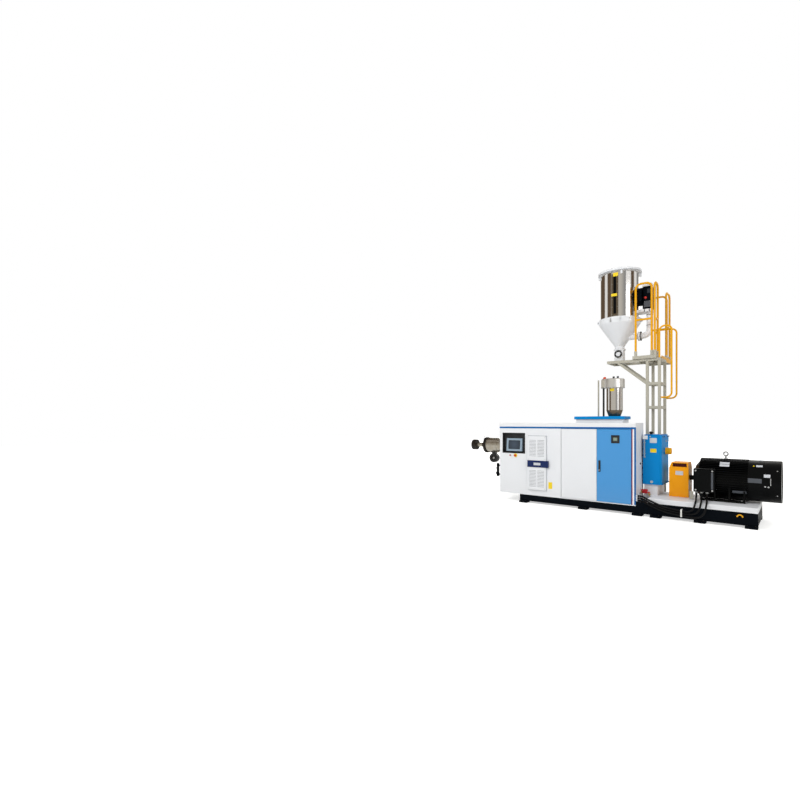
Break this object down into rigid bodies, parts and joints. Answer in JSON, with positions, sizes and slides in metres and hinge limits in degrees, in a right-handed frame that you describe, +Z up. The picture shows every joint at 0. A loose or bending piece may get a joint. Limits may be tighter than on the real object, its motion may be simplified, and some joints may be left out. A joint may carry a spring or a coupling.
{
  "type": "plastic extruder",
  "caption": "Single-screw plastic extruder on a steel base, with operator cabinet, gearbox, side motor and a drying hopper on a platform tower.",
  "frame": {"origin": "on the floor, below the front right corner of the operator cabinet where it stands beside the gearbox", "axes": "+X along the machine from the melt adapter to the motor, +Y away from the operator's side, +Z up"},
  "size_m": [5.996, 2.6761, 4.975],
  "materials": {
    "white_paint": "satin",
    "black_paint": "satin",
    "blue_paint": "gloss",
    "light_blue_paint": "satin",
    "yellow_paint": "gloss",
    "orange_paint": "satin",
    "beige_paint": "satin",
    "polished_steel": "polished",
    "black_plastic": "matte",
    "grey_plastic": "matte",
    "white_plastic": "matte",
    "red_plastic": "gloss",
    "cable_rubber": "matte"
  },
  "bodies": {
    "extruder": {"adapter_flange": "polished_steel", "adapter_neck": "polished_steel", "air_duct": "white_paint", "barrel_blower": "black_plastic", "base_cross_members": "black_paint", "base_rails": "black_paint", "blue_trim": "blue_paint", "cabinet_floor": "white_paint", "cabinet_walls": "white_paint", "cable_strap": "white_plastic", "control_housing": "white_paint", "cooling_unit": "white_paint", "coupling_guard": "orange_paint", "deck": "beige_paint", "drive_frame": "black_paint", "feed_cover": "blue_paint", "floor_pads": "black_paint", "gearbox": "blue_paint", "guard_rails": "yellow_paint", "head_clamp": "polished_steel", "heater_box": "black_paint", "hmi_panel": "grey_plastic", "hopper_body": "polished_steel", "hopper_cone": "white_paint", "hopper_frame": "beige_paint", "hopper_lid": "white_paint", "hopper_outlet": "white_paint", "ladder_handrails": "yellow_paint", "lifting_eye": "polished_steel", "loader_body": "polished_steel", "loader_cap": "white_paint", "loader_pipes": "black_plastic", "melt_adapter": "polished_steel", "motor_bed": "white_paint", "motor_body": "black_paint", "motor_cowl": "black_paint", "power_cable_1": "cable_rubber", "power_cable_2": "cable_rubber", "power_cable_3": "cable_rubber", "push_buttons": "red_plastic", "rear_housing": "white_paint", "roof": "white_paint", "sight_glass": "polished_steel", "terminal_box": "black_paint", "tower_braces": "beige_paint", "tower_posts": "beige_paint"},
    "white_door_leaf": {"white_door": "white_paint"},
    "blue_door_leaf": {"blue_door": "light_blue_paint", "door_handle": "black_plastic", "panel_meter": "black_plastic"}
  },
  "joints": [
    {"name": "white_door_hinge", "type": "hinge", "parent": "extruder", "child": "white_door_leaf", "pos_m": [-1.38, 0.01, 0.8835], "axis": [0, 0, -1], "range_deg": [0, 110]},
    {"name": "blue_door_hinge", "type": "hinge", "parent": "extruder", "child": "blue_door_leaf", "pos_m": [-0.086, 0.01, 0.8835], "axis": [0, 0, 1], "range_deg": [0, 110]}
  ]
}
